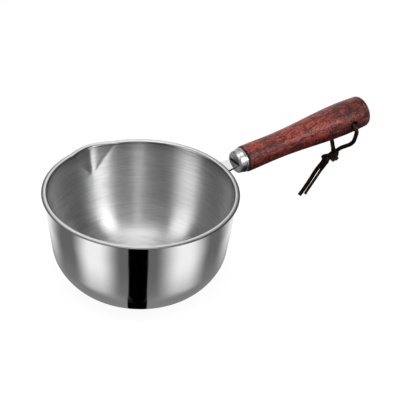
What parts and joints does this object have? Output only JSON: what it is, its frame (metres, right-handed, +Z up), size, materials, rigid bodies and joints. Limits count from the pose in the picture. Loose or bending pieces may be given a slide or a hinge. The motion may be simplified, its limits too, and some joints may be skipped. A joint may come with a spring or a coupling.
{
  "type": "hot oil pot",
  "caption": "Small pressed steel saucepan with a V spout, a turned wooden handle on a welded bracket and a leather hanging thong.",
  "frame": {"origin": "centre of the flat base's underside", "axes": "+Z up out of the bowl, +X along the handle, +Y towards the pouring spout"},
  "size_m": [0.2941, 0.1537, 0.0942],
  "materials": {
    "polished_steel": "stainless steel, mirror polished outside and satin brushed inside",
    "bracket_steel": "polished stainless steel sheet",
    "ferrule_steel": "polished stainless steel pressing",
    "black_fibre": "matt black fibre",
    "plated_steel": "bright zinc plate",
    "brass": "turned brass",
    "red_wood": "lacquered red-brown hardwood",
    "dark_leather": "waxed dark brown leather lace"
  },
  "bodies": {
    "pot": {"pot_body": "polished_steel", "handle_bracket": "bracket_steel", "ferrule": "ferrule_steel", "fibre_washer": "black_fibre", "handle_stud": "plated_steel", "threaded_insert": "brass", "handle_grip": "red_wood"},
    "thong": {"thong_loop": "dark_leather", "thong_knot": "dark_leather", "thong_tail_long": "dark_leather", "thong_tail_short": "dark_leather"}
  },
  "joints": [
    {"name": "thong_swing", "type": "hinge", "parent": "pot", "child": "thong", "pos_m": [0.19877, 0, 0.08014], "axis": [0, 1, 0], "range_deg": [-62, 33]}
  ]
}
